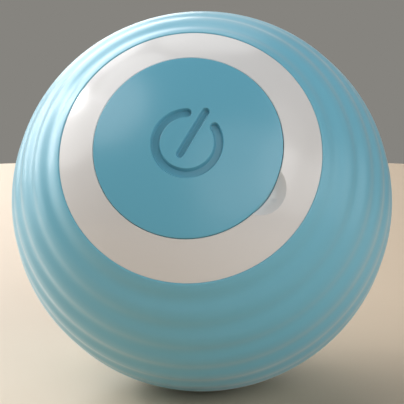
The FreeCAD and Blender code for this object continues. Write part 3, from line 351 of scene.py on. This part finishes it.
def make_jacket_tree():
    """Geometry of the jacket from its rule: rib after groove along the polar angle, turned round."""
    tree, given, out = new_group("RibbedJacket", "GeometryNodeTree", {
        "Ball Radius": ("NodeSocketFloat", BALL_RADIUS * MM),
        "Inside Radius": ("NodeSocketFloat", JACKET_INSIDE * MM),
        "Opening Radius": ("NodeSocketFloat", OPENING_RADIUS * MM),
        "Rib Pitch": ("NodeSocketFloat", RIB_PITCH * DEG),
        "Grooves Each Side": ("NodeSocketInt", GROOVES_EACH_SIDE),
        "Groove Depth": ("NodeSocketFloat", GROOVE_DEPTH * MM),
        "Groove Sharpness": ("NodeSocketFloat", GROOVE_SHARPNESS),
        "Lip Round": ("NodeSocketFloat", LIP_ROUND * MM),
        "Steps Around": ("NodeSocketInt", 192),
        "Rows Outside": ("NodeSocketInt", 240),
        "Rows Inside": ("NodeSocketInt", 40),
        "Rows At Lip": ("NodeSocketInt", 2),
        "Row Crowding": ("NodeSocketFloat", 1.1),
        "Merge Distance": ("NodeSocketFloat", 0.002 * MM),
        "Material": ("NodeSocketMaterial", None),
    }, {"Geometry": "NodeSocketGeometry"})

    def band(rows, radius_and_angle, flipped):
        """A grid bent into a surface of revolution; radius_and_angle maps 0..1 along it."""
        grid = node(tree, "GeometryNodeMeshGrid", {
            "Size X": 1.0, "Size Y": 1.0, "Vertices X": calc(tree, "ADD", rows, 1),
            "Vertices Y": calc(tree, "ADD", given["Steps Around"], 1)})
        parts = node(tree, "ShaderNodeSeparateXYZ",
                     {0: node(tree, "GeometryNodeInputPosition").outputs[0]}).outputs
        radius, angle = radius_and_angle(calc(tree, "ADD", parts["X"], 0.5))
        around = calc(tree, "MULTIPLY", calc(tree, "ADD", parts["Y"], 0.5), 2 * math.pi)
        across = calc(tree, "MULTIPLY", radius, calc(tree, "SINE", angle))
        point = node(tree, "ShaderNodeCombineXYZ", {
            "X": calc(tree, "MULTIPLY", across, calc(tree, "COSINE", around)),
            "Y": calc(tree, "MULTIPLY", across, calc(tree, "SINE", around)),
            "Z": calc(tree, "MULTIPLY", radius, calc(tree, "COSINE", angle))})
        bent = node(tree, "GeometryNodeSetPosition", {
            "Geometry": grid.outputs["Mesh"], "Position": point.outputs[0]}).outputs[0]
        return node(tree, "GeometryNodeFlipFaces", {"Mesh": bent}).outputs[0] if flipped else bent

    def opening_angle(radius):
        """Polar angle at which a ball of this radius meets the opening."""
        return calc(tree, "ARCSINE", calc(tree, "DIVIDE", given["Opening Radius"], radius))

    first = opening_angle(given["Ball Radius"])
    inner_first = opening_angle(given["Inside Radius"])

    def between(share, start, end):
        """A share of the way from start to end."""
        return calc(tree, "MULTIPLY_ADD", share, calc(tree, "SUBTRACT", end, start), start)

    def ribbed(angle):
        """Outer radius at a polar angle: the ball, less its grooves and the lip's round.

        A groove is a cosine wave to a power, so that it is narrower than a rib.
        """
        turn = calc(tree, "DIVIDE", calc(tree, "SUBTRACT", angle, math.pi / 2), given["Rib Pitch"])
        wave = calc(tree, "COSINE", calc(tree, "MULTIPLY", turn, 2 * math.pi))
        wave = calc(tree, "POWER", calc(tree, "MULTIPLY_ADD", wave, 0.5, 0.5), given["Groove Sharpness"])
        last = calc(tree, "ADD", given["Grooves Each Side"], 0.5)
        grooved = calc(tree, "LESS_THAN", calc(tree, "ABSOLUTE", turn), last)
        sunk = calc(tree, "MULTIPLY", calc(tree, "MULTIPLY", wave, grooved), given["Groove Depth"])
        back = calc(tree, "MULTIPLY", calc(tree, "SUBTRACT", angle, first), given["Ball Radius"])
        short = calc(tree, "SUBTRACT", 1.0, calc(tree, "DIVIDE", back, given["Lip Round"]), clamp=True)
        full = calc(tree, "SQRT", calc(tree, "SUBTRACT", 1.0, calc(tree, "MULTIPLY", short, short)))
        lip = calc(tree, "MULTIPLY", calc(tree, "SUBTRACT", 1.0, full), given["Lip Round"])
        return calc(tree, "SUBTRACT", calc(tree, "SUBTRACT", given["Ball Radius"], sunk), lip)

    def outside(share):
        """The ribbed face, with its rows closer at the opening."""
        angle = between(calc(tree, "POWER", share, given["Row Crowding"]), first, math.pi)
        return ribbed(angle), angle

    def inside(share):
        """The smooth inner face."""
        return given["Inside Radius"], between(share, inner_first, math.pi)

    def lip_wall(share):
        """The opening's wall, from the lip's round to the inner face."""
        top = calc(tree, "SUBTRACT", given["Ball Radius"], given["Lip Round"])
        return between(share, top, given["Inside Radius"]), between(share, first, inner_first)

    joined = node(tree, "GeometryNodeJoinGeometry")
    surfaces = (band(given["Rows Outside"], outside, False), band(given["Rows Inside"], inside, True),
                band(given["Rows At Lip"], lip_wall, True))
    for surface in surfaces:
        tree.links.new(surface, joined.inputs[0])
    merged = node(tree, "GeometryNodeMergeByDistance", {
        "Geometry": joined.outputs[0], "Distance": given["Merge Distance"]})
    smooth = node(tree, "GeometryNodeSetShadeSmooth", {"Geometry": merged.outputs[0]})
    real = node(tree, "GeometryNodeRealizeInstances", {"Geometry": smooth.outputs[0]})
    painted = node(tree, "GeometryNodeSetMaterial", {
        "Geometry": real.outputs[0], "Material": given["Material"]})
    tree.links.new(painted.outputs[0], out["Geometry"])
    return tree


def run_tree(tree, name, values):
    """Evaluate a geometry tree on an empty mesh and hand back the plain mesh it makes."""
    carrier = new_object(name + "_carrier", bpy.data.meshes.new(name + "_carrier"))
    modifier = carrier.modifiers.new(name, "NODES")
    modifier.node_group = tree
    for item in tree.interface.items_tree:
        if item.in_out == "INPUT" and item.name in values:
            modifier[item.identifier] = values[item.name]
    graph = bpy.context.evaluated_depsgraph_get()
    mesh = bpy.data.meshes.new_from_object(carrier.evaluated_get(graph))
    mesh.name = name
    bpy.data.objects.remove(carrier)
    return mesh


jacket_mesh = lean(run_tree(make_jacket_tree(), "ribbed_jacket", {"Material": MATERIALS["silicone_blue"]}))
add_piece("ribbed_jacket", jacket_mesh, "housing", "silicone_blue", "grip_jacket")


# Power cap


def symbol_distance(x, y):
    """Distance from a point on the cap to the edge of the power symbol, negative inside it."""
    turn = SYMBOL_TURN * DEG
    along = x * math.cos(turn) + y * math.sin(turn)
    aside = -x * math.sin(turn) + y * math.cos(turn)
    half_gap = SYMBOL_GAP / 2 * DEG
    half_bar, half_stroke = SYMBOL_BAR / 2, SYMBOL_STROKE / 2
    nearest = min(max(along, half_bar - SYMBOL_BAR_IN), SYMBOL_BAR_OUT - half_bar)
    to_bar = math.hypot(along - nearest, aside) - half_bar
    if abs(math.atan2(aside, along)) > half_gap:
        to_ring = abs(math.hypot(x, y) - SYMBOL_RADIUS) - half_stroke
    else:
        tip = (SYMBOL_RADIUS * math.cos(half_gap), SYMBOL_RADIUS * math.sin(half_gap))
        to_ring = math.hypot(along - tip[0], abs(aside) - tip[1]) - half_stroke
    return min(to_bar, to_ring)


def sunk_share(x, y):
    """How far a point lies in the symbol's recess: 0 on the face, 1 on its floor, and soft between."""
    if math.hypot(x, y) > SYMBOL_REACH:
        return 0.0
    past_rim = WALL_OUTSIDE - symbol_distance(x, y)
    share = min(max(past_rim / (WALL_INSIDE + WALL_OUTSIDE), 0.0), 1.0)
    return share * share * (3 - 2 * share)


def cap_top_height(radius, x, y):
    """Height of the cap's face: a shallow dome, a round edge and the sunk symbol."""
    dome = (CAP_RADIUS**2 + CAP_CROWN**2) / (2 * CAP_CROWN)
    height = CAP_EDGE_HEIGHT + CAP_CROWN - dome + math.sqrt(dome**2 - radius**2)
    over = max(radius - (CAP_RADIUS - CAP_EDGE_ROUND), 0.0) / CAP_EDGE_ROUND
    height -= CAP_EDGE_ROUND * (1 - math.sqrt(max(1 - over * over, 0.0)))
    return height - SYMBOL_DEPTH * sunk_share(x, y)


def cap_face_rings():
    """Radii of the rings of points on the cap's face, close over the symbol and at the round edge."""
    flat_reach = CAP_RADIUS - CAP_EDGE_ROUND
    plain_width = flat_reach - SYMBOL_REACH
    rings = [SYMBOL_REACH * step / SYMBOL_RINGS for step in range(1, SYMBOL_RINGS + 1)]
    rings += [SYMBOL_REACH + plain_width * step / FACE_RINGS for step in range(1, FACE_RINGS + 1)]
    rings += [flat_reach + CAP_EDGE_ROUND * math.sin(step / EDGE_RINGS * math.pi / 2)
              for step in range(1, EDGE_RINGS + 1)]
    return rings


def cap_back_profile():
    """Radius and height of the cap's outline from the foot of its skirt to the end of its boss."""
    skirt_end = CAP_EDGE_HEIGHT - CAP_SKIRT_DEPTH
    inside = CAP_RADIUS - CAP_SKIRT_WALL
    under = CAP_EDGE_HEIGHT - CAP_PLATE
    return [(CAP_RADIUS, skirt_end + CAP_SKIRT_CHAMFER), (CAP_RADIUS - CAP_SKIRT_CHAMFER, skirt_end),
            (inside, skirt_end), (inside, under), (CAP_BOSS_RADIUS, under), (CAP_BOSS_RADIUS, STEM_TOP)]


def make_cap():
    """The cap as one turned mesh, fine where the symbol is; its attribute "sunk" marks the recess for painted
    shade.
    """
    mesh = bmesh.new()
    sunk = mesh.verts.layers.float.new("sunk")
    angles = [2 * math.pi * step / CAP_STEPS_AROUND for step in range(CAP_STEPS_AROUND)]

    def back_point(radius, angle, height):
        return mesh.verts.new((radius * math.cos(angle) * MM, radius * math.sin(angle) * MM, height * MM))

    def face_point(radius, angle):
        x, y = radius * math.cos(angle), radius * math.sin(angle)
        point = back_point(radius, angle, cap_top_height(radius, x, y))
        # The recess share, stored for the material's painted shade
        point[sunk] = sunk_share(x, y)
        return point

    rows = [[face_point(radius, angle) for angle in angles] for radius in cap_face_rings()]
    rows += [[back_point(radius, angle, height) for angle in angles]
             for radius, height in cap_back_profile()]
    top = face_point(0.0, 0.0)
    bottom = back_point(0.0, 0.0, STEM_TOP)
    for step in range(CAP_STEPS_AROUND):
        following = (step + 1) % CAP_STEPS_AROUND
        mesh.faces.new((top, rows[0][step], rows[0][following]))
        for upper, lower in zip(rows, rows[1:]):
            mesh.faces.new((upper[step], lower[step], lower[following], upper[following]))
        mesh.faces.new((bottom, rows[-1][following], rows[-1][step]))
    made = bpy.data.meshes.new("blue_cap")
    mesh.to_mesh(made)
    mesh.free()
    made.shade_smooth()
    made.set_sharp_from_angle(angle=SHARP_ANGLE * DEG)
    return lean(made)


add_piece("blue_cap", make_cap(), "cap", "cap_blue", "power_cap")


# Camera, lamps, floor and background

# The round table top, in metres, and the room
TABLE_RADIUS = 0.19
TABLE_SIDES = 96
TABLE_COLOUR = colour(209, 190, 167)
ROOM_COLOUR = colour(134, 132, 127)
ROOM_IN_GLOSS = 0.5

# Lamps: name, azimuth and elevation in degrees, width in metres, watts
LAMP_DISTANCE = 0.5
LAMPS = (
    ("window_spot", -112, 33, 0.07, 0.40),
    ("window_low", -120, 15, 0.25, 0.77),
    ("window_mid", -128, 28, 0.20, 0.26),
    ("window_high", -140, 38, 0.25, 0.44),
    ("window_behind", -160, 20, 0.25, 0.63),
    ("left_wall", -90, 30, 0.30, 0.48),
    ("left_table", -100, 0, 0.25, 0.31),
    ("left_rim", -50, 50, 0.22, 0.36),
    ("ceiling_left", -100, 60, 0.30, 0.40),
    ("ceiling_behind", 180, 60, 0.30, 0.30),
    ("front_high", 15, 35, 0.30, 0.24),
    ("front_low", 15, 18, 0.30, 0.12),
    ("right_fill", 45, 30, 0.35, 0.46),
    ("right_low", 60, 15, 0.30, 0.25),
    ("right_high", 60, 45, 0.35, 0.16),
    ("right_wall", 90, 8, 0.30, 0.32),
)


def towards(azimuth, elevation):
    """Direction from the ball, with azimuth 0 at the front, -Y, and 90 at the right, +X."""
    a, e = azimuth * DEG, elevation * DEG
    return Vector((math.sin(a) * math.cos(e), -math.cos(a) * math.cos(e), math.sin(e)))


def stand_off(thing, direction, distance):
    """Put a camera or lamp at a distance in metres from the ball's middle, and turn it to face the ball."""
    thing.location = direction * distance
    thing.rotation_mode = "QUATERNION"
    thing.rotation_quaternion = (-direction).to_track_quat("-Z", "Y")


def add_camera():
    """The photograph's camera: the ball's outline has its radius and place in the picture."""
    data = bpy.data.cameras.new("camera")
    camera = new_object("camera", data)
    stand_off(camera, towards(CAMERA_AZIMUTH, CAMERA_ELEVATION), CAMERA_DISTANCE * MM)
    focal_px = OUTLINE_RADIUS_PX * math.sqrt((CAMERA_DISTANCE / BALL_RADIUS) ** 2 - 1)
    data.sensor_width = SENSOR
    data.lens = SENSOR * focal_px / PICTURE_SIDE
    data.shift_x = OUTLINE_LEFT_PX / PICTURE_SIDE
    data.shift_y = -OUTLINE_UP_PX / PICTURE_SIDE
    data.clip_start = 0.01
    data.clip_end = 20.0
    bpy.context.scene.camera = camera


def add_lamp(name, azimuth, elevation, width, power):
    """A round soft lamp that faces the ball."""
    data = bpy.data.lights.new(name, "AREA")
    data.shape = "DISK"
    data.size = width
    data.energy = power
    lamp = new_object(name, data)
    stand_off(lamp, towards(azimuth, elevation), LAMP_DISTANCE)
    lamp.visible_camera = False


def add_floor():
    """A round pale table top that carries the ball."""
    mesh = bpy.data.meshes.new("table_top")
    edit = bmesh.new()
    bmesh.ops.create_circle(edit, cap_ends=True, segments=TABLE_SIDES, radius=TABLE_RADIUS)
    edit.transform(Matrix.Translation((0, 0, cad_box[0].z)))
    edit.to_mesh(mesh)
    edit.free()
    floor = new_object("table_top", mesh)
    material, _, _ = new_material("pale_table", moulded_grain, {
        "Color": TABLE_COLOUR, "Cloudiness": 0.05, "Cloud Size": 0.02,
        "Roughness": 0.55, "Grain Depth": 0.0})
    mesh.materials.append(material)


def set_world():
    """A plain grey room that the camera and glossy surfaces see, and that adds no diffuse light."""
    world = bpy.data.worlds.new("room")
    world.use_nodes = True
    bpy.context.scene.world = world
    tree = world.node_tree
    path = node(tree, "ShaderNodeLightPath")
    seen = calc(tree, "MAXIMUM", path.outputs["Is Camera Ray"], path.outputs["Is Transmission Ray"])
    mirrored = calc(tree, "MULTIPLY", path.outputs["Is Glossy Ray"], ROOM_IN_GLOSS)
    background = tree.nodes["Background"]
    background.inputs["Color"].default_value = ROOM_COLOUR
    tree.links.new(calc(tree, "MAXIMUM", seen, mirrored), background.inputs["Strength"])


add_camera()
for lamp in LAMPS:
    add_lamp(*lamp)
add_floor()
set_world()
bpy.context.scene.view_settings.view_transform = "Standard"
